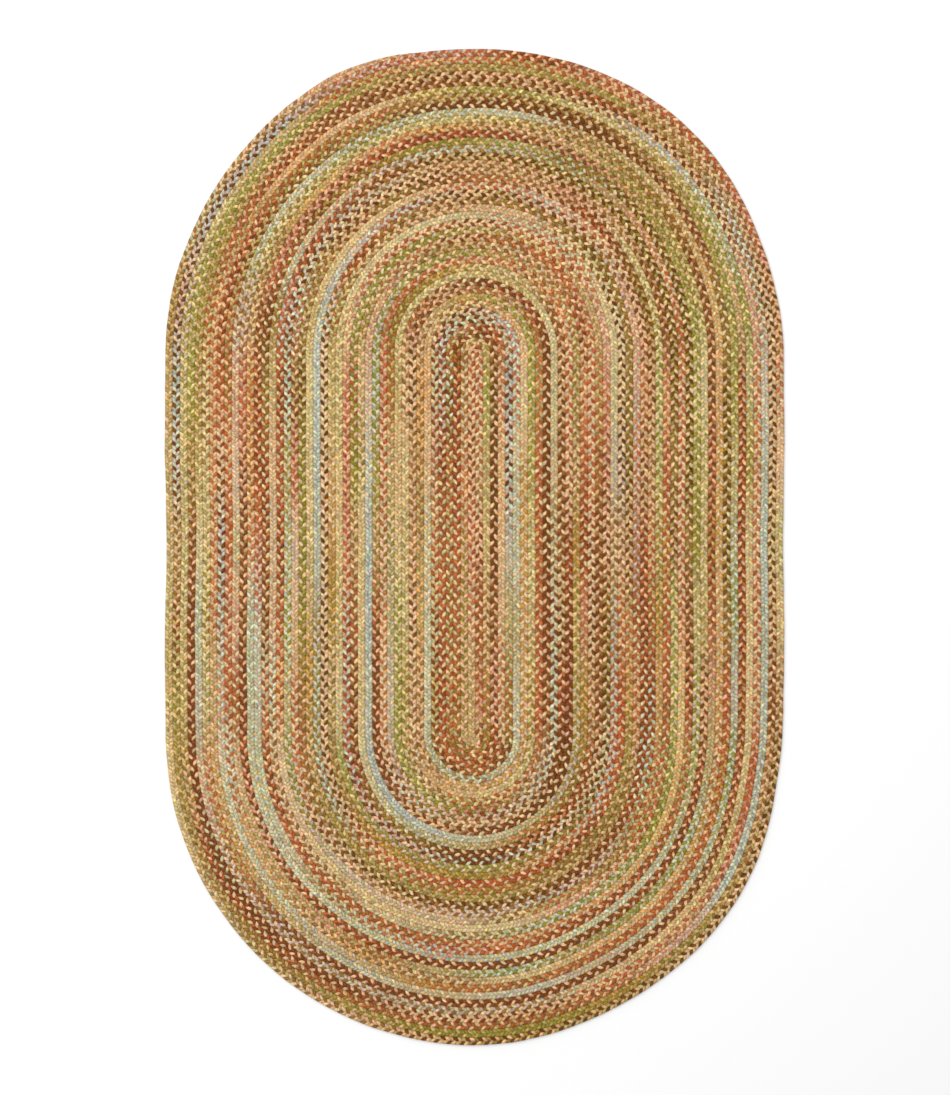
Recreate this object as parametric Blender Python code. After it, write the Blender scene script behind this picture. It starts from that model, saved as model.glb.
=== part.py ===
"""Oval braided rug, lying flat on its underside.

The rug is one long, flat braid of plump yarn strands, coiled edge to edge and laced to
itself, so it is a single solid. Seen from above the braid winds clockwise: it starts at
the near end of a straight seam, runs up the seam's left, turns tightly round the seam's
far end, comes down the right, and goes on round until its tail tapers off at the far left.
Each row of the braid is a rib on the top, with a groove between it and the next.

Metres, +Z up. +Y runs along the rug to the far end, where the tail is, and +X to the right.
The origin is on the underside, at the middle of the rug's length and width.
"""

from math import cos, pi, radians, sin

import bmesh
import bpy

# Driving dimensions: a rug of 1.515 by 2.438 m.
SEAM_LENGTH = 0.937
LEFT_PITCH = 0.01799  # from one row of braid to the next, across the left side
RIGHT_PITCH = 0.01833  # the rows lie a little slacker on the right
THICKNESS = 0.0095  # to the top of a row
GROOVE_HEIGHT = 0.0055  # to the bottom of the groove between two rows
LAST_TURN = 41  # turns before the one that ends in the tail

# The rolled edge, as shares of a row's width and of the thickness.
EDGE_HEIGHT = 0.45
SHOULDER_INSET = 0.2
SHOULDER_HEIGHT = 0.82
FOOT_INSET = 0.16

# How finely the coil is followed: steps along each side, and round each end.
SIDE_STEPS = 4
END_STEPS = 20
TURN_STEPS = 2 * (SIDE_STEPS + END_STEPS)
FAR_END = SIDE_STEPS  # the step of a turn at which each stretch begins
RIGHT_SIDE = SIDE_STEPS + END_STEPS
NEAR_END = 2 * SIDE_STEPS + END_STEPS

# The tail is full until it is 7 steps into the far end, and tapers to nothing at 9.
TAIL_TIP = LAST_TURN * TURN_STEPS + FAR_END + 9
TAIL_WIDTHS = {TAIL_TIP - 1: 0.55, TAIL_TIP: 0.0}

# Hand work is never quite even: how far the rim strays from a true oval.
RIM_STRAY = (
    # steps into a turn, metres outwards
    (0.0, 0.002),
    (1.0, 0.004),
    (2.0, 0.000),
    (3.0, 0.004),
    (FAR_END + 4.0, -0.005),
    (FAR_END + 8.0, 0.003),
    (FAR_END + 10.0, -0.002),
    (FAR_END + 15.0, 0.009),
    (FAR_END + 18.0, -0.001),
    (RIGHT_SIDE + 1.0, 0.004),
    (RIGHT_SIDE + 2.0, 0.001),
    (RIGHT_SIDE + 3.0, 0.004),
    (NEAR_END + 1.0, -0.005),
    (NEAR_END + 3.5, 0.004),
    (NEAR_END + 7.0, -0.003),
    (NEAR_END + 10.0, 0.005),
    (NEAR_END + 16.0, 0.003),
    (TURN_STEPS, 0.002),
)


def stray(step):
    """How far the rim lies outside a true oval, eased between the table's rows."""
    for (start, before), (end, after) in zip(RIM_STRAY, RIM_STRAY[1:]):
        if step <= end:
            ease = (1 - cos(pi * (step - start) / (end - start))) / 2
            return before + (after - before) * ease
    return RIM_STRAY[-1][1]


def distance(turn, step):
    """From the seam to the line on which a turn's inner groove lies."""
    far_share = min(max((step - FAR_END) / END_STEPS, 0), 1)
    near_share = max((step - NEAR_END) / END_STEPS, 0)
    pitch = LEFT_PITCH + (RIGHT_PITCH - LEFT_PITCH) * (far_share - near_share)
    reach = turn + near_share  # the coil gains a row as it passes the near end
    return pitch * reach + stray(step) * (reach / LAST_TURN) ** 2


def place(step, away, height):
    """The point at a step of a turn, away from the seam and above the underside."""
    half = SEAM_LENGTH / 2
    if step <= FAR_END:
        return (-away, half * (2 * step / SIDE_STEPS - 1), height)
    if step <= RIGHT_SIDE:
        angle = pi * (step - FAR_END) / END_STEPS
        return (-away * cos(angle), half + away * sin(angle), height)
    if step <= NEAR_END:
        return (away, half * (1 - 2 * (step - RIGHT_SIDE) / SIDE_STEPS), height)
    angle = pi * (step - NEAR_END) / END_STEPS
    return (away * cos(angle), -half - away * sin(angle), height)


class Rug:
    """The coil's points, each made once and shared by the faces round it."""

    def __init__(self):
        self.mesh = bmesh.new()
        self.points = {}
        self.rim_start = TAIL_TIP - TURN_STEPS  # from here on, the outer edge is the rim

    def point(self, name, step, away, height):
        if name not in self.points:
            self.points[name] = self.mesh.verts.new(place(step, away, height))
        return self.points[name]

    def groove(self, count):
        """The point of the inner groove after so many steps of braid."""
        turn, step = divmod(count, TURN_STEPS)
        if turn == 0 and step <= NEAR_END:
            # Both sides of the first turn meet on the seam, and its far end is a point.
            along = min(step, FAR_END, NEAR_END - step)
            return self.point(("seam", along), along, 0, GROOVE_HEIGHT)
        return self.point(("groove", count), step, distance(turn, step), GROOVE_HEIGHT)

    def outer(self, count):
        """How far out the braid reaches: a full row, or less where the tail tapers."""
        turn, step = divmod(count, TURN_STEPS)
        inner = distance(turn, step)
        return inner + (distance(turn + 1, step) - inner) * TAIL_WIDTHS.get(count, 1)

    def row(self, count):
        """The points across the braid after so many steps, from its inner groove outwards."""
        turn, step = divmod(count, TURN_STEPS)
        inner = self.groove(count)
        if count == TAIL_TIP:
            return (inner,) * 4
        width = self.outer(count) - distance(turn, step)
        fullness = width / LEFT_PITCH
        top = GROOVE_HEIGHT + (THICKNESS - GROOVE_HEIGHT) * min(fullness, 1)
        crest = self.point(("crest", count), step, self.outer(count) - width / 2, top)
        if count <= self.rim_start:
            edge = self.groove(count + TURN_STEPS)
            return (inner, crest, edge, edge)
        inset = self.outer(count) - SHOULDER_INSET * width
        shoulder = self.point(("shoulder", count), step, inset, SHOULDER_HEIGHT * top)
        edge = self.point(
            ("edge", count), step, self.outer(count), EDGE_HEIGHT * THICKNESS
        )
        return (inner, crest, shoulder, edge)

    def foot(self, count):
        """The point of the underside's outline, which is drawn in below the rolled edge."""
        count = self.rim_start if count == TAIL_TIP else count
        inset = self.outer(count) - FOOT_INSET * LEFT_PITCH
        return self.point(("foot", count), count % TURN_STEPS, inset, 0)

    def face(self, *corners):
        """A face on its corners, or none where they run together in a line or a point."""
        corners = list(dict.fromkeys(corners))
        if len(corners) > 2:
            self.mesh.faces.new(corners)


def coil():
    """The whole rug: its rows, the braid's start, its rolled edge and its underside."""
    rug = Rug()
    for count in range(TAIL_TIP):
        near, far = rug.row(count), rug.row(count + 1)
        for side in range(3):
            rug.face(near[side], far[side], far[side + 1], near[side + 1])

    # The braid's start, tucked in where its second turn comes round the seam's near end.
    start = rug.row(0)[1]
    for count in range(NEAR_END, TURN_STEPS):
        rug.face(start, rug.groove(count + 1), rug.groove(count))

    outline = []
    for count in range(rug.rim_start, TAIL_TIP):
        outer = rug.row(count)[-1], rug.row(count + 1)[-1]
        rug.face(outer[0], outer[1], rug.foot(count + 1), rug.foot(count))
        outline.append(rug.foot(count))
    rug.mesh.faces.new(outline)
    bmesh.ops.recalc_face_normals(rug.mesh, faces=rug.mesh.faces)
    return rug.mesh


def centred(mesh):
    """The mesh, moved so that the origin is at the middle of its length and width."""
    for axis in (0, 1):
        spread = [vertex.co[axis] for vertex in mesh.verts]
        middle = (min(spread) + max(spread)) / 2
        for vertex in mesh.verts:
            vertex.co[axis] -= middle
    return mesh


def yarn():
    """Heathered olive, rust and peach yarns, which mix to a warm tan from a distance."""
    material = bpy.data.materials.new("braid_yarn")
    material.use_nodes = True
    shader = material.node_tree.nodes["Principled BSDF"]
    shader.inputs["Base Color"].default_value = (0.42, 0.27, 0.13, 1)
    shader.inputs["Roughness"].default_value = 0.95
    shader.inputs["Metallic"].default_value = 0
    return material


def braided_rug():
    mesh = bpy.data.meshes.new("braided_rug")
    solid = centred(coil())
    solid.to_mesh(mesh)
    solid.free()
    mesh.materials.append(yarn())
    mesh.shade_smooth()
    mesh.set_sharp_from_angle(angle=radians(50))
    rug = bpy.data.objects.new("braided_rug", mesh)
    bpy.context.scene.collection.objects.link(rug)
    return rug


for leftover in list(bpy.data.objects):
    bpy.data.objects.remove(leftover, do_unlink=True)

braided_rug()
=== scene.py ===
from itertools import permutations
from math import ceil, cos, pi, radians, sin

import bpy
import numpy as np
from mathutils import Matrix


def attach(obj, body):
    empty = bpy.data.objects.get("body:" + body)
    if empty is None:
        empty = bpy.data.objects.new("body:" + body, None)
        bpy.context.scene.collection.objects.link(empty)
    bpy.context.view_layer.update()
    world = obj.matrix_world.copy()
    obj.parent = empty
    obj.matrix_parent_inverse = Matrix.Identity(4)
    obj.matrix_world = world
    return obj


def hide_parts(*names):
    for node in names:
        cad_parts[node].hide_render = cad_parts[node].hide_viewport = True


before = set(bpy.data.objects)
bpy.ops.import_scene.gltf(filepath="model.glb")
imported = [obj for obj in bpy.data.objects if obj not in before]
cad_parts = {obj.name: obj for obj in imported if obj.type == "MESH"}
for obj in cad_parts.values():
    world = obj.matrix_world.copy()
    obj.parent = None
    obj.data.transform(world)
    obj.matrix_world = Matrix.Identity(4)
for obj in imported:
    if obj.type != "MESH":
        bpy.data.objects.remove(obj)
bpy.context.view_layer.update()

# ---------------------------------------------------------------------------------------
# The path of the braid, which is coiled clockwise round a straight seam. Its start is
# tucked in at the seam's near end, and its tail is drawn in at the far left. The sizes are
# the solid's own, so every row lies on its rib.

SEAM_LENGTH = 0.937
LEFT_PITCH = 0.01799  # from one row to the next
RIGHT_PITCH = 0.01833
LAST_ROUND = 41  # rounds before the one that ends in the tail

# A round is counted in steps along its four stretches: up the left side, round the far end,
# down the right side, and round the near end to the next round.
SIDE_STEPS = 4
END_STEPS = 20
FAR_END = SIDE_STEPS
RIGHT_SIDE = SIDE_STEPS + END_STEPS
NEAR_END = 2 * SIDE_STEPS + END_STEPS
ROUND_STEPS = 2 * (SIDE_STEPS + END_STEPS)
STRETCHES = (0, FAR_END, RIGHT_SIDE, NEAR_END, ROUND_STEPS)

TAIL_TIP = FAR_END + 9.0  # steps into the last round
TAIL_TAPER = (  # steps, and the share of a full width that the braid has there
    (0, FAR_END + 7.0, FAR_END + 8.0, TAIL_TIP),
    (1, 1, 0.55, 0),
)

# Hand work is never quite even: how far the rim strays from a true oval.
RIM_STRAY = (
    # steps into a round, metres outwards
    (0.0, 0.002),
    (1.0, 0.004),
    (2.0, 0.000),
    (3.0, 0.004),
    (FAR_END + 4.0, -0.005),
    (FAR_END + 8.0, 0.003),
    (FAR_END + 10.0, -0.002),
    (FAR_END + 15.0, 0.009),
    (FAR_END + 18.0, -0.001),
    (RIGHT_SIDE + 1.0, 0.004),
    (RIGHT_SIDE + 2.0, 0.001),
    (RIGHT_SIDE + 3.0, 0.004),
    (NEAR_END + 1.0, -0.005),
    (NEAR_END + 3.5, 0.004),
    (NEAR_END + 7.0, -0.003),
    (NEAR_END + 10.0, 0.005),
    (NEAR_END + 16.0, 0.003),
    (ROUND_STEPS, 0.002),
)


def stray(step):
    """How far the rim lies outside a true oval, eased between the table's rows."""
    for (start, before), (end, after) in zip(RIM_STRAY, RIM_STRAY[1:]):
        if step <= end:
            ease = (1 - cos(pi * (step - start) / (end - start))) / 2
            return before + (after - before) * ease
    return RIM_STRAY[-1][1]


def distance(round_, step):
    """From the seam to the line on which a round's inner groove lies."""
    far_share = min(max((step - FAR_END) / END_STEPS, 0), 1)
    near_share = max((step - NEAR_END) / END_STEPS, 0)
    pitch = LEFT_PITCH + (RIGHT_PITCH - LEFT_PITCH) * (far_share - near_share)
    reach = round_ + near_share  # the coil gains a row as it passes the near end
    return pitch * reach + stray(step) * (reach / LAST_ROUND) ** 2


def place(step, away):
    """The point at a step of a round, away from the seam."""
    half = SEAM_LENGTH / 2
    if step <= FAR_END:
        return (-away, half * (2 * step / SIDE_STEPS - 1))
    if step <= RIGHT_SIDE:
        angle = pi * (step - FAR_END) / END_STEPS
        return (-away * cos(angle), half + away * sin(angle))
    if step <= NEAR_END:
        return (away, half * (1 - 2 * (step - RIGHT_SIDE) / SIDE_STEPS))
    angle = pi * (step - NEAR_END) / END_STEPS
    return (away * cos(angle), -half - away * sin(angle))


START_TUCK = 0.015  # of braid, tucked in beyond the seam's near end
START_LEAN = 0.0037  # and its lean towards the seam
START_SPREAD = 1.2  # rows that it is wide, with its edges under the next row's
START_NARROWING = 0.95  # the share of its width that it loses on the way to its tip
START_SINKING = 0.6  # and of its height
LEAST_WIDTH = 0.0002  # at the tip of the tail
POINT_SPACING = 0.008  # at most, along the path
FEWEST_POINTS = 18  # on a stretch, however short it is
SHORTEST_BEND = 0.03


def start_points():
    """The braid's start, which narrows and sinks under the row that comes round it."""
    first = distance(1, 0)
    points = []
    for share in (1.0, 0.8, 0.6, 0.4, 0.2):
        x = START_LEAN * share**0.5 - first / 2
        y = -SEAM_LENGTH / 2 - START_TUCK * share
        width = START_SPREAD * first * (1 - START_NARROWING * share**3) ** 0.6
        fullness = 1 - START_SINKING * share
        points.append((x, y, width / 2, fullness, 0.0))
    return points


def stretch_points(round_, stretch):
    """The middle of the braid along one stretch of a round."""
    start, end = STRETCHES[stretch : stretch + 2]
    last = min(end, TAIL_TIP) if round_ == LAST_ROUND else end
    length = SEAM_LENGTH
    if start in (FAR_END, NEAR_END):
        length = max(pi * distance(round_ + 1, start), SHORTEST_BEND)
    count = max(ceil(length * (last - start) / (end - start) / POINT_SPACING), FEWEST_POINTS)
    points = []
    for step in np.linspace(start, last, count, endpoint=last == TAIL_TIP):
        on_seam = round_ == 0 and step <= NEAR_END
        inner = 0.0 if on_seam else distance(round_, step)
        width = distance(round_ + 1, step) - inner
        if round_ == LAST_ROUND:
            width *= np.interp(step, *TAIL_TAPER)
        x, y = place(step, inner + width / 2)
        fullness = min(width / LEFT_PITCH, 1) ** 0.5
        share = (step - start) / (end - start)
        half = max(width, LEAST_WIDTH) / 2
        points.append((x, y, half, fullness, 4 * round_ + stretch + share))
    return points


def braid_path():
    """Points along the braid: x, y, half width, fullness and the count of stretches so far."""
    points = start_points()
    for stretch in range(4 * LAST_ROUND + 2):  # the tail lies along the far end
        points += stretch_points(*divmod(stretch, 4))
    return np.array(points)


path = braid_path()
rim = np.array(
    [
        place(step, distance(LAST_ROUND + (step < TAIL_TIP), step))
        for step in range(ROUND_STEPS + 1)
    ]
)
path[:, :2] -= (rim.min(axis=0) + rim.max(axis=0)) / 2  # the solid is centred on its outline
hops = np.hypot(*np.diff(path[:, :2], axis=0).T)
lengths = np.concatenate(([0], np.cumsum(hops)))  # of braid, up to each point


# ---------------------------------------------------------------------------------------
# The yarns. Each strand is a bundle of soft heathered wool, dyed in many colours, and as
# the braid goes round, one yarn is joined on after another.

YARNS = {
    "D": "6a3e0c",  # dark brown
    "M": "784118",  # red-brown
    "B": "8e612d",  # brown
    "R": "a35428",  # rust
    "T": "ac6233",  # terracotta
    "A": "cf9959",  # golden apricot
    "P": "cfa57c",  # peach
    "N": "bd8367",  # rose
    "C": "cbb186",  # cream
    "G": "85812c",  # leaf green
    "O": "8c742a",  # olive
    "K": "a38e50",  # khaki
    "Y": "cab679",  # straw
    "Z": "b08037",  # ochre
    "S": "b0a77f",  # sage
    "Q": "bbbca2",  # pale aqua
    "U": "a5a597",  # blue-grey
    "L": "baa18f",  # lilac
    "E": "c19c69",  # tan
}

# A line for each round, with the three yarns that run through its left side, far end, right
# side and near end. Where a stretch has more than one entry, the yarns change on the way.
CHART = """
EPK>PTC>PRP>PMP>PRC  PRE  PRC>PBC>PMP>RBP>RNE  MRE>EKP
OEP>EOP>TEP>EBC  EPC>BPE  KGY>KYE>KYP>EBP>OTP  TOC>OKT>OTC
ROP>BTC>RTC>MRC>MRP  DMB>DEC>MPB  DBC>DMC>DMP>MBP>MNP  MRP>MTC>TBO
RPK>ROC>RKC>ROP>MOQ  TOC>RBC>MNC>MRP  PTC>APC>PEC>PTC  BTP>MTE>RTC
RMC>RTC>RBC>MRC>MQN  MNQ>DQL>MQE>BPS  DLU>DQL>QSL>SKE>OTC  OBC>MBC>RBP>MBC
MEK>MES>RCE>BNC>MCS  MCN>MCS>DLP>DUC>LNQ  TQC>ESQ>SQC>SCK>SQC  SQC>SQE>SBQ>SKQ
SQC>SQC>EQY>EPC>EPA  EPY>YPB>BPE>EAC  PYC>ZYP>ZPC>ZCP  ZPC>ZPE>PEK>EPB
BEP>EAK>EKB>BEA  BEP>EKC>ZEK>GEC>GKY  GYK>GYE>YKC>KEC>OYP  YOC>YCK>YEP>EPA>BPC
PBC>MPC>PBP>PBE>DCP  MPB>MPE>BTP>BEC>TBE  TEK>RTC>TRE>RTC>RTP  TBE>RPE>TKY>BYP>OEC
OYE>KYC>YCK>YCE>BCP  BTP>MPE>MMC>MTC>MMP  MMC>DMC>MDC>MMP>MBP  BLC>BKC>RNG>GKC>GKY
GYK>GYC>YEC>YEP>YEK  KYC>YKC>YKE>YSC  YSC>SCE>BCS>MCQ>MQS  MQC>BLC>MNC>OLC>LBP
LCS>SCK>OSC>EKC>OTE  RKO>OBK>OZE>YCK>BEC>BPM  DPE>MBP>MBC>DCE>MRP  DMP>DCP>BCP>BPQ>MPC
PTC>PTC>BPC>RPC>RNP  RNK>RTC>RPE>TPE>APB>TPC  PRC>RPC>MRP>MMP>MMN  MDC>MMC>MEP>MMP
MMP>MTP>EPO>GKC>GSQ  GSL>GKC>GPK>TKC>TKC  KOP>EBC>OZE>EYO>SOE  OLC>SEK>SQC>UQU>UQU
UQS>UQU>UQU>UQC>LCP  NEC>NBC>EKB>BEC>BEP>RPM  TPE>TRP>RMC>TPN>OZE  BOC>EOT>SKE>SQK>YSC
YEC>YEC>YEC>OYC>KPC  KPO>TEC>MEC>TBP>RTP>RPE  PRC>PRC>PMC>DPC>BPE  MRC>DTP>DMC>BOC>MBP
MBP>RBC>EBC>GOY>GRC  GKC>GOC>OEC>RYE>EKP  TKE>RBE>MBP>MBP>MBP  MEC>DQP>DMQ>MPL>MQN
RQN>MNQ>PRP>NRP>RPN>NTP  YCN>RPC>RPC>MPC>TPC>RPC>PCN  NTP>MNP>MPP>DOP>DOC  DSC>OBC>GKC>OKL>YKG
SYP>YKC>YCE>YKC  YKC>YCC>YSC>NSC>TSC>CCY  SCY>SCL>EBC>SBL>RLS  RPU>TPE>OKZ>OZE>EKB
OEC>OZE>ZEC>EKY  KYB>BEC>BPE>ECP>BCY>DCC  DCC>DCL>BPC>RPE>RRP  RTC>MRP>RRP>RPE>DPC
PDC>CDC>PDC>CDC  PDQ>PRB>RMP>BCO>MEP>BOP>BOP>DOC>BOC>OBC  OBC>ODC>DPE>TKP>OEA  OKE>OEB>TEO>RKC>BSQ
OQS>OLS>UQS>UQU>UQQ  UQC>UQL>LPQ>RQL>DPC>DKP>MPL>MPC>BPL>NPC  LNC>TLP>BNL>RBC>REP  BEP>OEB>EBK>OEP>OKE>OEK>EOK>OKE>OEK>OEP
OEA>EKC>YCE>YCY  YKE>YCE>CPY>YEP>PTC>RPC>NPQ>TPC>MPC>MPP  RPE>MPE>RMP>RMP>RMC  RMQ>MRC>DMP>DBP>DBC>DBC>DOC>DEC>BOC>BTC
BOP>OGP>GOC>GOC>DOC  BKC>BEK>MEP>BOC>MBP>BPT>MPE>MRP>MBK>MEO  MEP>BPE>RPE>ROP>RMQ  RKQ>RSK>BLP>MLS>BLC>LBP>BPE>PBC>MPC>TPC
RPC>PCE>PLC>NPR>MPK  BNQ>BKC>DCE>DCP>DPE>BPE>BPN>MPC>YKC>YOC  YGC>CYG>OEY>OZE>EZP  TKP>TEK>BKE>EKT>BYC>ELC>ELC>SLC>OCL>GSC
KSC>GQC>KSQ>OSC>MSQ  MNQ>DCQ>MLC>BLC>BPE>BPE>DPE>BPE>MEB>MBP  TPE>RTP>RZC>RTC>RBP  RKC>RPK>TPC>EPN>CCY>YCP>YCE>YCE>CCP>CCC
RPA>RTC>MRC>RTC>MRC  RQN>RMP>RBL>MBP>DKP>DOP>DOC>DOC>DOC>DOC  DCO>BCO>MKP>YGC>GYC  GKY>GOY>GSC>GSQ>OSC>BSC>SEC>BCE>BPC>BPC
BCQ>NCC>ECL>EPC>EKC  OBC>ESQ>NSC>BLC>BSQ>OSL>BSK>NKE>TPC>RBP  PRC>PRC>PRC>PRP>YCA  YAE>EYA>AEC>TEC>TEP>RBP>RBP>RTC>RTP>TMC
RSP>MCB>MTC>RMC>OBC  MDC>RBC>MOE>BOE>OGE>GES>OBS>ODC>DOC>DOC  DOC>ODC>BOP>MBP>MPR  TEK>RBP>MRP>MRP>RTP>NRQ>TQE>SBE>SQC>SQY
QSL>QSL>RPL>RTP>MRP>MTP  MBP>RNP>MNP>MRP>MRN>MRC>MNK>KEB>GKE>GKY  GYC>KGY>GYO>KYC>GYL  GSC>SQK>SQC>SQY>SUY>SUN>SQY>SQC>SCQ>SYQ
SQS>SQS>PCT>BAP>ETA  BEC>EBK>EAK>TEP>EAB>EPB>EKP>OKE>OYE>OYY  YCS>YKC>YCK>YKE>MPE  RMP>MMP>MRC>MMP>MMC>MMP>MRP>MRC>MNC>MRP
MMP>MBP>MBP>MNP>RPN  BCL>OCY>OYC>GYC>KYC>OYE>BEK>BEO>MEB>MBP  MBP>MTP>MTK>RBP>NPK  SEK>SQG>SGK>OSE>SGQ>KSE>ERK>ENK>EPK>EPC
BRC>NPC>ESC>LPC>PNC  BCL>KSQ>SQC>SQO>SQK>SQC>BKP>EKC>ECZ>EYA  EPA>EZC>ZEC>AEC>EPZ  TEC>EZC>EAC>EAC>YEC>BEC>BEA>BEC>EAC>TQC
RTC>RNC>RTP>RPE>ROP  RKE>MEK>MOC>BEK>DMC>DMC>DMC>DBP>MBP>BOC  DOC>DOC>ODC>OBC>RTP  RZE>RTP>RTE>TRE>TEB>TEZ>ELK>SQE>SQC>SQC
NQE>BLQ>DQL>MPC>RTP  MTP>MTP>RBK>ROP>EKB>MOP>DBE>BEK>KEG>KGY  GKY>KSY>SQK>SGQ>SQL  SGQ>SKQ>SQE>SEL>SQL>SEC>SUC>EKC>EZC>ZPC
EPK>TEP>TEP>TPE  TEP>EKT>EPA>EPC>OYE>KYO>YKC>YKE>YCG>EPK  TPM>RMP>MRP>RMP>MTE  MTP>MBP>MMP>DMP>MMP>MMP>MMP>MBL>TKE>TPE
KYC>OYC>KCY>BYC  RKE>BPT>MTP>MBP>MBP>MPK>MCE>UQE>SQK>KGY  SKY>KYO>YEC>YCE>YCP  YCE>YKE>YEP>ESP>BLC>BLS>BSL>BLC>BCL>NSC
SQL>SQS>SYC>YKE>OKP  OEK>OEK>EBP>MBP>DEP>MEP>MRE>DPE>MCC>PCN  PTC>PTC>PTC>PRC>TPC  RTN>RNP>TPE>RPE>MPE>MPC>MMP>MMP>DMS>MMP
MMP>MMP>MBP>BKE>GYK  GCK>GYK>GYK>GEK>KEB>OEK>KEO>EKB>BQL>BQP  LQC>USQ>QUQ>UQS>QUS  UQS>QUQ>NEL>TPB>RBE>RBP>RBE>MRC>MRP>EPO
KYE>YKC>YCK>YCK  OYL>KYC>KSE>RKE>TEP>RKE>REP>BPE>BPC>DCP  CDP>EDC>CDY>MPE>MPB  BEP>EBK>OEK>OZK>OKG>OGE>OKE>OEB>EKB>EKO
KOY>MKP>BEC>DLQ>DUQ  DLP>DLU>DUL>BNL>RNL>RMP>RNP>RTC>RNP>MPE  PTC>PPC>YCK>YCE>BPE  DPK>DEC>DEC>DEK>DPO>DPE>BPC>KBC>KEC>YEC
YKE>YKC>EKC>EKP  BEK>BSC>BPC>NEP>TEC>TEC>TEC>TEC>TEC>TEC  PTC  PTC
"""
BLEND = 0.16  # of braid, over which one yarn gives way to the next
STAGGER = 0.03  # of braid, from one strand's change to the next strand's


def dye(code):
    """A yarn's colour in linear light."""
    value = np.array([int(YARNS[code][at : at + 2], 16) / 255 for at in (0, 2, 4)])
    return np.where(value <= 0.04045, value / 12.92, ((value + 0.055) / 1.055) ** 2.4)


def joined_yarns():
    """The length at which each entry of the chart starts, and the yarns that it joins on to
    the three strands. Every yarn goes on the strand whose last one was most like it."""
    starts = []
    threes = []
    for round_, line in enumerate(CHART.split("\n")[1:-1]):
        for stretch, cell in enumerate(line.split()):
            entries = cell.split(">")
            for at, entry in enumerate(entries):
                starts.append(4 * round_ + stretch + at / len(entries))
                orders = [np.array(order) for order in permutations(map(dye, entry))]
                last = threes[-1] if threes else orders[0]
                threes.append(min(orders, key=lambda order: abs(order**0.5 - last**0.5).sum()))
    return np.interp(starts, path[:, 4], lengths), np.array(threes)


joins, joined = joined_yarns()


def strand_colours(strand):
    """A strand's colour at each point of the path."""
    colours = np.tile(joined[0, strand], (len(path), 1))
    for start, before, after in zip(joins[1:], joined[:, strand], joined[1:, strand]):
        share = np.clip((lengths - start - STAGGER * (strand - 1)) / BLEND + 0.5, 0, 1)
        share = (share * share * (3 - 2 * share))[:, None]
        colours = np.where(share > 0, before + (after - before) * share, colours)
    return colours


path_mesh = bpy.data.meshes.new("braid_path")
path_mesh.from_pydata(
    np.column_stack((path[:, :2], np.zeros(len(path)))).tolist(),
    [(at, at + 1) for at in range(len(path) - 1)],
    [],
)
for name, column in (("half_width", 2), ("fullness", 3)):
    layer = path_mesh.attributes.new(name, "FLOAT", "POINT")
    layer.data.foreach_set("value", path[:, column])
for strand, name in enumerate(("yarn_a", "yarn_b", "yarn_c")):
    layer = path_mesh.attributes.new(name, "FLOAT_VECTOR", "POINT")
    layer.data.foreach_set("vector", strand_colours(strand).ravel())


# ---------------------------------------------------------------------------------------
# The plait. Three plump strands cross in turn from one edge of the braid to the other, so
# each shows as a slanting lobe, first on one side of the middle and then on the other.
# One sheet of small faces follows the path and swells into the lobes.

LOBE_PITCH = 0.01025  # from one lobe to the next along one side
SLANT = 0.62  # how far a lobe leans along the braid, for each metre that it goes across
PLUMPNESS = 0.5  # the power of the sine by which a lobe swells: the less, the plumper
GATHER = 0.09  # of a lobe's length, by which its faces crowd to its middle
MIDDLE_WAVE = 0.13  # of the half width, by which the line between the two sides winds
SCALLOP = 0.05  # of the half width, by which a lobe bulges at the edge
EDGE_DRAW = 0.01  # and by which the edge is drawn in between two lobes
LOBE_TONES = (0.8, 1.2)  # between which one lobe is darker or paler than another
LOBE_TINTS = ((0.94, 0.95, 0.92), (1.06, 1.05, 1.08))
NUDGE = 0.01  # of a lobe, to be safely past the line between two

# The lines of points on each half of the braid, from the middle outwards: the share of the
# half width, the name of its heights, and the painted light there: low values paint shade into
# the colour along the middle and the grooves between rows, high ones paint light on the crests.
TOP_LINES = ((0.0, "Middle", 0.3), (0.33, "Inner", 1.0), (0.75, "Outer", 1.0), (1.0, "Edge", 0.4))
UNDER_LINES = ((0.0, "Middle", 0.6), (1.0, "Edge", 0.6))


def step_of(operation, reflected=False):
    """An operator that adds a Math node."""

    def added(self, *others):
        values = (*others, self) if reflected else (self, *others)
        return self.board.add("ShaderNodeMath", {"operation": operation}, dict(enumerate(values)))

    return added


class Thread:
    """A socket of a node tree. Sums on it become Math nodes."""

    def __init__(self, board, socket):
        self.board = board
        self.socket = socket

    __add__ = step_of("ADD")
    __radd__ = step_of("ADD", True)
    __sub__ = step_of("SUBTRACT")
    __rsub__ = step_of("SUBTRACT", True)
    __mul__ = step_of("MULTIPLY")
    __rmul__ = step_of("MULTIPLY", True)
    __truediv__ = step_of("DIVIDE")
    __rtruediv__ = step_of("DIVIDE", True)
    __pow__ = step_of("POWER")
    __mod__ = step_of("FLOORED_MODULO")
    __gt__ = step_of("GREATER_THAN")
    __lt__ = step_of("LESS_THAN")
    __abs__ = step_of("ABSOLUTE")
    floor = step_of("FLOOR")
    fraction = step_of("FRACT")
    sine = step_of("SINE")
    cosine = step_of("COSINE")
    least = step_of("MINIMUM")
    most = step_of("MAXIMUM")

    def other(self, name):
        """Another output of the same node."""
        return Thread(self.board, self.board.find(self.socket.node.outputs, name))


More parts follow.
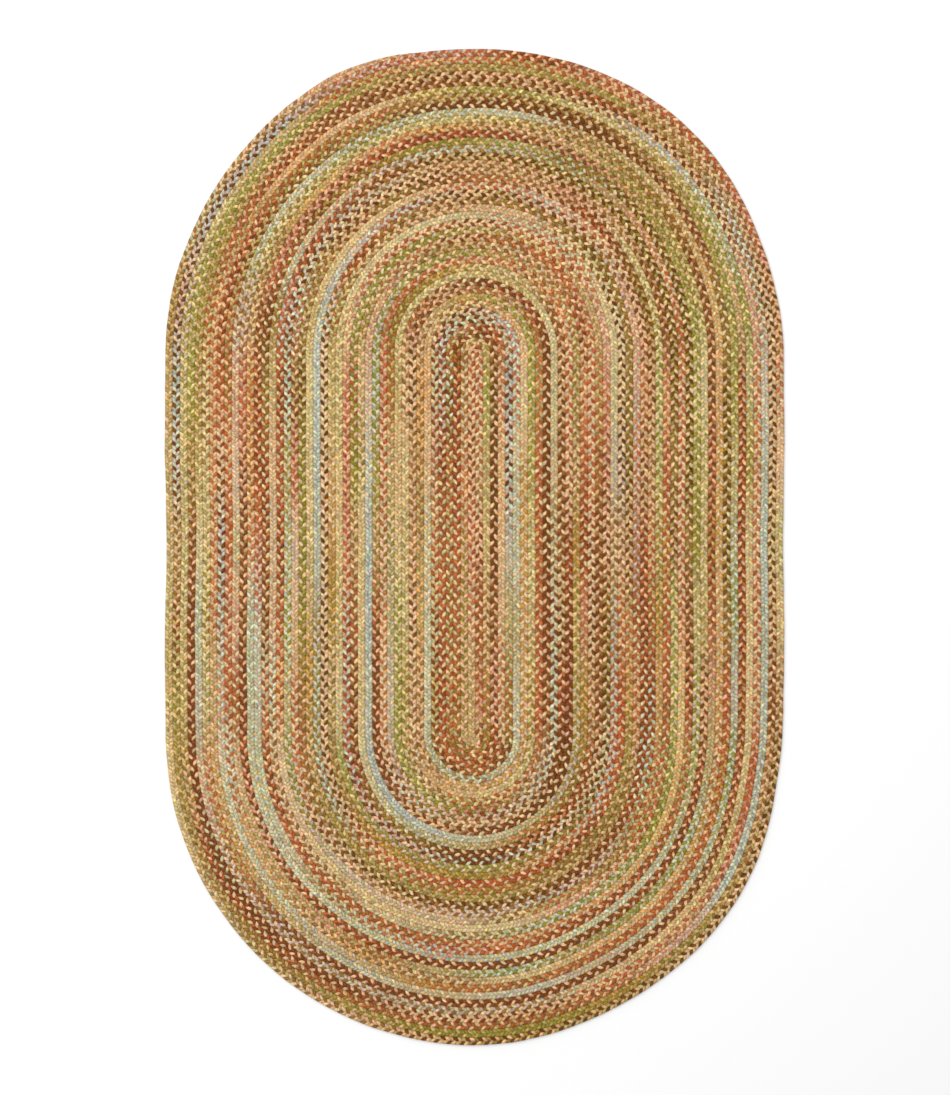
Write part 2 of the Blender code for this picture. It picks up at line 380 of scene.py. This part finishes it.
class Board:
    """A node tree, laid out one node at a time."""

    def __init__(self, tree):
        self.tree = tree

    def find(self, sockets, name):
        """A socket by its name, or by its number among those in use."""
        live = [socket for socket in sockets if socket.enabled]
        return live[name] if isinstance(name, int) else next(s for s in live if s.name == name)

    def add(self, kind, settings=(), values=(), out=0):
        """A new node: its settings, then its sockets' values or links. Gives an output."""
        node = self.tree.nodes.new(kind)
        for name, value in dict(settings).items():
            setattr(node, name, value)
        for name, value in dict(values).items():
            socket = self.find(node.inputs, name)
            if isinstance(value, Thread):
                self.tree.links.new(value.socket, socket)
            else:
                socket.default_value = value
        return Thread(self, self.find(node.outputs, out)) if node.outputs else None

    def vector(self, operation, *values, **named):
        """A Vector Math node."""
        settings = {"operation": operation}
        return self.add("ShaderNodeVectorMath", settings, {**dict(enumerate(values)), **named})

    def mix(self, share, before, after):
        """A Mix node, for vectors."""
        values = {"Factor": share, "A": before, "B": after}
        return self.add("ShaderNodeMix", {"data_type": "VECTOR"}, values)

    def point(self, x=0.0, y=0.0, z=0.0):
        """A vector of three numbers."""
        return self.add("ShaderNodeCombineXYZ", (), {"X": x, "Y": y, "Z": z})


def by_line(line, values):
    """The value for a line of points, counted outwards from the middle."""
    total = values[0]
    for at, (before, after) in enumerate(zip(values, values[1:])):
        total = total + (line > at + 0.5) * (after - before)
    return total


def plait_tree(name, lines, columns, facing_up):
    """The tree that lays a sheet of plaiting along a path, so many columns to a lobe."""
    shares, names, painted_light = zip(*lines)
    rows = len(lines) - 1  # of faces, on each side of the middle
    across = 2 * rows + 1  # points
    sizes = {
        "Path": "Geometry",
        "First Lobe": "Int",
        "Lobes": "Int",
        "Lobe Pitch": "Float",
        "Half Width": "Float",
        "Spread": "Float",
        "Slant": "Float",
        **{f"{line} {part}": "Float" for line in names for part in ("Crest", "Dip")},
        "Unevenness": "Float",
        "Wander": "Float",
        "Wander Scale": "Float",
        "Seed": "Int",
        "Yarn": "Material",
    }
    tree = bpy.data.node_groups.new(name, "GeometryNodeTree")
    for size_name, kind in sizes.items():
        socket_type = "NodeSocket" + kind
        tree.interface.new_socket(size_name, in_out="INPUT", socket_type=socket_type)
    tree.interface.new_socket("Geometry", in_out="OUTPUT", socket_type="NodeSocketGeometry")
    board = Board(tree)
    given = board.add("NodeGroupInput")
    size = {size_name: given.other(size_name) for size_name in sizes}
    pitch = size["Lobe Pitch"]
    half = size["Half Width"]
    seed = size["Seed"]
    curve = board.add("GeometryNodeMeshToCurve", (), {"Mesh": size["Path"]})

    def read(attribute, kind):
        """A named attribute."""
        settings = {"data_type": kind}
        return board.add("GeometryNodeInputNamedAttribute", settings, {"Name": attribute})

    def stored(mesh, attribute, kind, domain, value):
        """The mesh with a named attribute."""
        settings = {"data_type": kind, "domain": domain}
        values = {"Geometry": mesh, "Name": attribute, "Value": value}
        return board.add("GeometryNodeStoreNamedAttribute", settings, values)

    def along(length, kind="FLOAT", attribute=None):
        """What the path holds at a length from its start. Its place is another output."""
        settings = {"mode": "LENGTH", "data_type": kind}
        values = {"Curves": curve, "Length": length}
        if attribute:
            values["Value"] = read(attribute, kind)
        return board.add("GeometryNodeSampleCurve", settings, values)

    def chance(kind, least, most, lobe, seed):
        """A different number or vector for each lobe."""
        values = {"Min": least, "Max": most, "ID": lobe, "Seed": seed}
        return board.add("FunctionNodeRandomValue", {"data_type": kind}, values)

    def uneven(lobe, extra_seed):
        """A number near one."""
        slack = size["Unevenness"]
        return chance("FLOAT", 1 - slack, 1 + slack, lobe, seed + extra_seed)

    # Where each point is in the plait: its column and line, and how far into its lobe.
    points = {"Vertices X": size["Lobes"] * columns + 1, "Vertices Y": across}
    grid = board.add("GeometryNodeMeshGrid", (), points)
    index = board.add("GeometryNodeInputIndex")
    column = (index / across + 0.5 / across).floor()
    line = index - column * across - rows
    turn = (column + size["First Lobe"] * columns) / columns
    outer = line > -0.5
    reach = abs(line)
    off_middle = reach > 0.5
    edge = reach > rows - 0.5
    sign = line.least(1.0).most(-1.0)
    side = by_line(reach, shares)
    lobes = turn + (1 - outer) * 0.5  # the two sides alternate
    share = lobes.fraction()
    lobe = lobes.floor() * 2 + outer
    swell = (share * pi).sine() ** PLUMPNESS

    # How far along the braid, how high and how far sideways it lies.
    gathered = (share * (2 * pi)).sine() * GATHER
    late = uneven(lobe, 1) * (1 - share) + uneven(lobe + 2, 1) * share - 1
    lean = side * size["Slant"] * half
    length = (turn + (late - gathered) * off_middle) * pitch + lean
    dip = by_line(reach, [size[line_name + " Dip"] for line_name in names])
    crest = by_line(reach, [size[line_name + " Crest"] for line_name in names])
    height = dip + (crest - dip) * swell * uneven(lobe, 2)
    height = height * along(length, "FLOAT", "fullness")
    width = along(length, "FLOAT", "half_width")
    wave = (turn * (2 * pi)).cosine() * MIDDLE_WAVE * (1 - off_middle)
    bulge = edge * (swell * SCALLOP - EDGE_DRAW)
    sideways = width * (sign * side * (size["Spread"] + bulge) + wave)

    # Its place. Hand work wanders a little from the path.
    spot = along(length)
    leftwards = board.vector("CROSS_PRODUCT", (0, 0, 1), spot.other("Tangent"))
    leftwards = board.vector("SCALE", leftwards, Scale=sideways)
    where = board.vector("ADD", spot.other("Position"), leftwards)
    waves = {"Vector": where, "Scale": size["Wander Scale"], "Detail": 1.0}
    wander = board.add("ShaderNodeTexNoise", (), waves, "Color")
    wander = board.vector("MULTIPLY_ADD", wander, (2, 2, 0), (-1, -1, 0))  # level, either way
    wander = board.vector("SCALE", wander, Scale=size["Wander"])
    where = board.vector("ADD", where, wander)
    where = board.vector("ADD", where, board.point(z=height))

    # What the material reads: how near the crest, for the shade painted into the valleys and the
    # light painted on the crests, and the place along and across the braid.
    valley = (1 - off_middle) + off_middle * (share < NUDGE)
    run = board.point(x=turn * pitch + lean, y=sign * side * half)
    # crest: painted light on the crests and painted shade in the valleys and grooves, line by line
    mesh = stored(grid, "crest", "FLOAT", "POINT", swell * by_line(reach, painted_light))
    mesh = stored(mesh, "valley", "BOOLEAN", "POINT", valley)
    mesh = stored(mesh, "run", "FLOAT_VECTOR", "POINT", run)
    mesh = board.add("GeometryNodeSetPosition", (), {"Geometry": mesh, "Position": where})
    mesh = stored(mesh, "braid_run", "FLOAT2", "CORNER", read("run", "FLOAT_VECTOR"))

    # The colour of each face is that of the strand which shows in its lobe.
    faces = 2 * rows
    face_column = (index / faces + 0.5 / faces).floor()
    face_outer = (index - face_column * faces) > rows - 0.5
    face_turn = (face_column + size["First Lobe"] * columns) / columns
    crossing = (face_turn + (1 - face_outer) * 0.5 + NUDGE).floor() * 2 + face_outer - 1
    strand = crossing % 3
    middle = (crossing + 1) * pitch * 0.5
    yarn_a, yarn_b, yarn_c = (along(middle, "FLOAT_VECTOR", "yarn_" + at) for at in "abc")
    colour = board.mix(strand > 1.5, board.mix(strand > 0.5, yarn_a, yarn_b), yarn_c)
    tone = chance("FLOAT", *LOBE_TONES, crossing, seed + 1)
    tint = chance("FLOAT_VECTOR", *LOBE_TINTS, crossing, seed + 2)
    colour = board.vector("MULTIPLY", colour, board.vector("SCALE", tint, Scale=tone))
    mesh = stored(mesh, "yarn", "FLOAT_COLOR", "FACE", colour)

    # The lobes are smooth, with a crease in each valley.
    smooth = {"Geometry": mesh, "Shade Smooth": True}
    mesh = board.add("GeometryNodeSetShadeSmooth", {"domain": "FACE"}, smooth)
    crease = {"Geometry": mesh, "Selection": read("valley", "BOOLEAN"), "Shade Smooth": False}
    mesh = board.add("GeometryNodeSetShadeSmooth", {"domain": "EDGE"}, crease)
    if not facing_up:
        mesh = board.add("GeometryNodeFlipFaces", (), {"Mesh": mesh})
    for spent in ("valley", "run"):
        values = {"Geometry": mesh, "Name": spent}
        mesh = board.add("GeometryNodeRemoveAttribute", (), values)
    dressed = {"Geometry": mesh, "Material": size["Yarn"]}
    mesh = board.add("GeometryNodeSetMaterial", (), dressed)
    mesh = board.add("GeometryNodeRealizeInstances", (), {"Geometry": mesh})
    board.add("NodeGroupOutput", (), {0: mesh})
    return tree


TOP_SIZES = {
    "Lobe Pitch": LOBE_PITCH,
    "Half Width": LEFT_PITCH / 2,
    "Spread": 1.0,
    "Slant": SLANT,
    "Middle Crest": 0.0073,
    "Middle Dip": 0.0073,
    "Inner Crest": 0.0095,
    "Inner Dip": 0.0075,
    "Outer Crest": 0.0091,
    "Outer Dip": 0.0065,
    "Edge Crest": 0.0049,
    "Edge Dip": 0.0041,
    "Unevenness": 0.12,
    "Wander": 0.002,
    "Wander Scale": 9.0,
    "Seed": 7,
}

STRIP_MARGIN = 0.06  # of a strip's height, left clear on each side
END_MARGIN = 0.004  # of the map's width
STRIP_SHARE = 1.1  # rows of braid that a strip is high, with its margins


def lay_out(mesh, across, column_length):
    """A second map of the sheet, cut into strips that lie side by side, for a bake to use."""
    corners = np.empty(len(mesh.loops), int)
    mesh.loops.foreach_get("vertex_index", corners)
    column = np.repeat(np.arange(len(mesh.polygons)) // (across - 1), 4)
    columns = column[-1] + 1
    strips = ceil((columns * column_length / (LEFT_PITCH * STRIP_SHARE)) ** 0.5)
    strip_columns = ceil(columns / strips)
    strip = column // strip_columns
    along = (corners // across - strip * strip_columns) / strip_columns
    up = corners % across / (across - 1)
    u = END_MARGIN + (1 - 2 * END_MARGIN) * along
    v = (strip + STRIP_MARGIN + (1 - 2 * STRIP_MARGIN) * up) / strips
    layer = mesh.uv_layers.new(name="OFBake")
    layer.data.foreach_set("uv", np.column_stack((u, v)).ravel())


def plaited(name, tree, sizes, lines, columns):
    """A piece of plaiting, as a plain mesh."""
    piece = bpy.data.objects.new(name, path_mesh.copy())
    bpy.context.scene.collection.objects.link(piece)
    modifier = piece.modifiers.new("plait", "NODES")
    modifier.node_group = tree
    for item in tree.interface.items_tree:
        if item.in_out == "INPUT" and item.name in sizes:
            modifier[item.identifier] = sizes[item.name]
    depsgraph = bpy.context.evaluated_depsgraph_get()
    mesh = bpy.data.meshes.new_from_object(
        piece.evaluated_get(depsgraph), preserve_all_data_layers=True, depsgraph=depsgraph
    )
    piece.modifiers.clear()
    piece.data = mesh
    mesh.name = name
    lay_out(mesh, 2 * len(lines) - 1, LOBE_PITCH / columns)
    return piece


# ---------------------------------------------------------------------------------------
# The yarn's surface: soft, dull and a little hairy. Each strand is many thin yarns laid
# together, with flecks of paler and darker wool. Shade is painted into its colour down between
# the lobes and along the grooves, and light is painted on their crests.

FLECK = (0.0018, 0.0054)  # across and along the fibres, as for the others
DYE_PATCH = (0.004, 0.006)
TONE_PATCH = (0.0045, 0.0045)
HAIR = (0.0007, 0.0025)
HAIR_HEIGHT = 0.0006
YARN_LIGHT = 1.01  # of the yarn's own colour, between pale and dark flecks
FLECK_CONTRAST = 1.7
DYE_SPREAD = 0.3  # from the least to the most of red, green or blue in a patch of dye
VALLEY_PAINTED_SHADE = 0.66  # painted shade: the share of the colour kept down between two lobes
CREST_PAINTED_LIGHT = 1.1  # painted light on their crests
CREST_RISE = 0.8  # the power by which the painted light grows on the way up


def braid_yarn():
    """The yarn's material. Its patterns follow the braid and lean with each lobe."""
    material = bpy.data.materials.new("braid_yarn")
    material.use_nodes = True
    board = Board(material.node_tree)
    shader = material.node_tree.nodes["Principled BSDF"]
    yarn = board.add("ShaderNodeAttribute", {"attribute_name": "yarn"}, out="Color")
    # How near the crest, by which shade and light are painted into the colour.
    crest = board.add("ShaderNodeAttribute", {"attribute_name": "crest"}, out="Fac")
    run = board.add("ShaderNodeUVMap", {"uv_map": "braid_run"})
    length = board.add("ShaderNodeSeparateXYZ", (), {0: run})
    side = length.other("Y")
    ply = length - abs(side) * SLANT

    def grain(size, seed, detail, out="Fac"):
        """Noise of this size across and along the fibres."""
        place = board.point(ply / size[0], side / size[1], seed)
        values = {"Vector": place, "Scale": 1.0, "Detail": detail, "Roughness": 0.6}
        return board.add("ShaderNodeTexNoise", {"noise_dimensions": "3D"}, values, out)

    flecks = grain(FLECK, 3.0, 2.0)
    dyes = grain(DYE_PATCH, 11.0, 1.0, "Color")
    patches = grain(TONE_PATCH, 17.0, 0.0)
    hairs = grain(HAIR, 5.0, 2.0)
    light = (flecks - 0.5) * FLECK_CONTRAST + (patches - 0.5) + YARN_LIGHT
    # Painted shade in the valleys and grooves, painted light on the crests.
    light = light * (VALLEY_PAINTED_SHADE + (CREST_PAINTED_LIGHT - VALLEY_PAINTED_SHADE) * crest**CREST_RISE)
    least = 1 - DYE_SPREAD / 2
    dyes = board.vector("MULTIPLY_ADD", dyes, (DYE_SPREAD,) * 3, (least,) * 3)
    colour = board.vector("SCALE", board.vector("MULTIPLY", yarn, dyes), Scale=light)
    board.tree.links.new(colour.socket, shader.inputs["Base Color"])
    shader.inputs["Roughness"].default_value = 0.95
    shader.inputs["Specular IOR Level"].default_value = 0.15
    shader.inputs["Sheen Weight"].default_value = 0.12
    shader.inputs["Sheen Roughness"].default_value = 0.5
    fibres = {"Height": (hairs + flecks) * HAIR_HEIGHT, "Distance": 1.0, "Strength": 0.6}
    bump = board.add("ShaderNodeBump", (), fibres)
    board.tree.links.new(bump.socket, shader.inputs["Normal"])
    return material


yarn_material = braid_yarn()


# ---------------------------------------------------------------------------------------
# The braid itself: one plait of wool from its start to its tail, each round fixed edge to
# edge to the one before. It is laid here in lengths, which follow on lobe by lobe with no
# join to be seen.

# The rounds at which a new length starts.
NEW_LENGTHS = (4, 7, 9.5, 11.5, 13.5, 15, 16.5, 18, 19.5, 21, 24, 27, 30, 32.5, 35, 37.5, 40)
TOP_COLUMNS = 4  # of faces along a lobe

top_tree = plait_tree("plait_top", TOP_LINES, TOP_COLUMNS, True)
lobe_count = int(lengths[-1] / LOBE_PITCH)
cuts = [int(np.interp(4 * round_, path[:, 4], lengths) / LOBE_PITCH) for round_ in NEW_LENGTHS]
top_pieces = []
for number, (first, last) in enumerate(zip([0, *cuts], [*cuts, lobe_count]), 1):
    sizes = {**TOP_SIZES, "First Lobe": first, "Lobes": last - first, "Yarn": yarn_material}
    name = f"braid_length_{number:02}"
    top_pieces.append(plaited(name, top_tree, sizes, TOP_LINES, TOP_COLUMNS))

# ---------------------------------------------------------------------------------------
# The underside of the same braid, one sheet from start to tail, which lies on the floor.
# Its edges are tucked up behind those of the top.

UNDER_COLUMNS = 2  # of faces along a lobe
UNDER_SIZES = {
    **TOP_SIZES,
    "Spread": 0.95,
    "Middle Crest": 0.0,
    "Middle Dip": 0.0,
    "Edge Crest": 0.0056,
    "Edge Dip": 0.0044,
    "First Lobe": 0,
    "Lobes": lobe_count,
    "Yarn": yarn_material,
}

under_tree = plait_tree("plait_underside", UNDER_LINES, UNDER_COLUMNS, False)
under = plaited("braid_underside", under_tree, UNDER_SIZES, UNDER_LINES, UNDER_COLUMNS)

for piece in (*top_pieces, under):
    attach(piece, "root")
    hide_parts("braided_rug")

# ---------------------------------------------------------------------------------------
# The studio: a plain near-white floor, an even soft light, and the camera straight above.

FLOOR_REACH = 20
FLOOR_DROP = 0.0006  # below the rug, so that the two don't flicker

corners = [(-1, -1), (1, -1), (1, 1), (-1, 1)]
floor_mesh = bpy.data.meshes.new("floor")
floor_mesh.from_pydata(
    [(x * FLOOR_REACH, y * FLOOR_REACH, -FLOOR_DROP) for x, y in corners], [], [(0, 1, 2, 3)]
)
floor = bpy.data.objects.new("floor", floor_mesh)
bpy.context.scene.collection.objects.link(floor)
floor_paint = bpy.data.materials.new("floor_paint")
floor_paint.use_nodes = True
paint = floor_paint.node_tree.nodes["Principled BSDF"]
paint.inputs["Base Color"].default_value = (0.9, 0.9, 0.9, 1)
paint.inputs["Roughness"].default_value = 0.9
floor_mesh.materials.append(floor_paint)

world = bpy.data.worlds.new("studio")
bpy.context.scene.world = world
world.use_nodes = True
sky = world.node_tree.nodes["Background"]
sky.inputs["Color"].default_value = (1, 1, 1, 1)
sky.inputs["Strength"].default_value = 0.66

lamp_data = bpy.data.lights.new("softbox", "AREA")
lamp_data.shape = "RECTANGLE"
lamp_data.size = 5
lamp_data.size_y = 5
lamp_data.energy = 228
lamp = bpy.data.objects.new("softbox", lamp_data)
lamp.location = (-1.5, 1.5, 5.0)
lamp.rotation_euler = (radians(-17), radians(-17), 0)
bpy.context.scene.collection.objects.link(lamp)

FRAME_HEIGHT = 1095 * 0.00245  # the photo's height, at the real size of one of its pixels
SENSOR = 36
LENS = 85

camera_data = bpy.data.cameras.new("camera")
camera_data.lens = LENS
camera_data.sensor_width = SENSOR
camera_data.sensor_fit = "AUTO"
camera = bpy.data.objects.new("camera", camera_data)
camera.location = (0.0012, -0.0014, FRAME_HEIGHT / SENSOR * LENS)  # the middle of the photo
bpy.context.scene.collection.objects.link(camera)
bpy.context.scene.camera = camera
bpy.context.scene.view_settings.view_transform = "Standard"
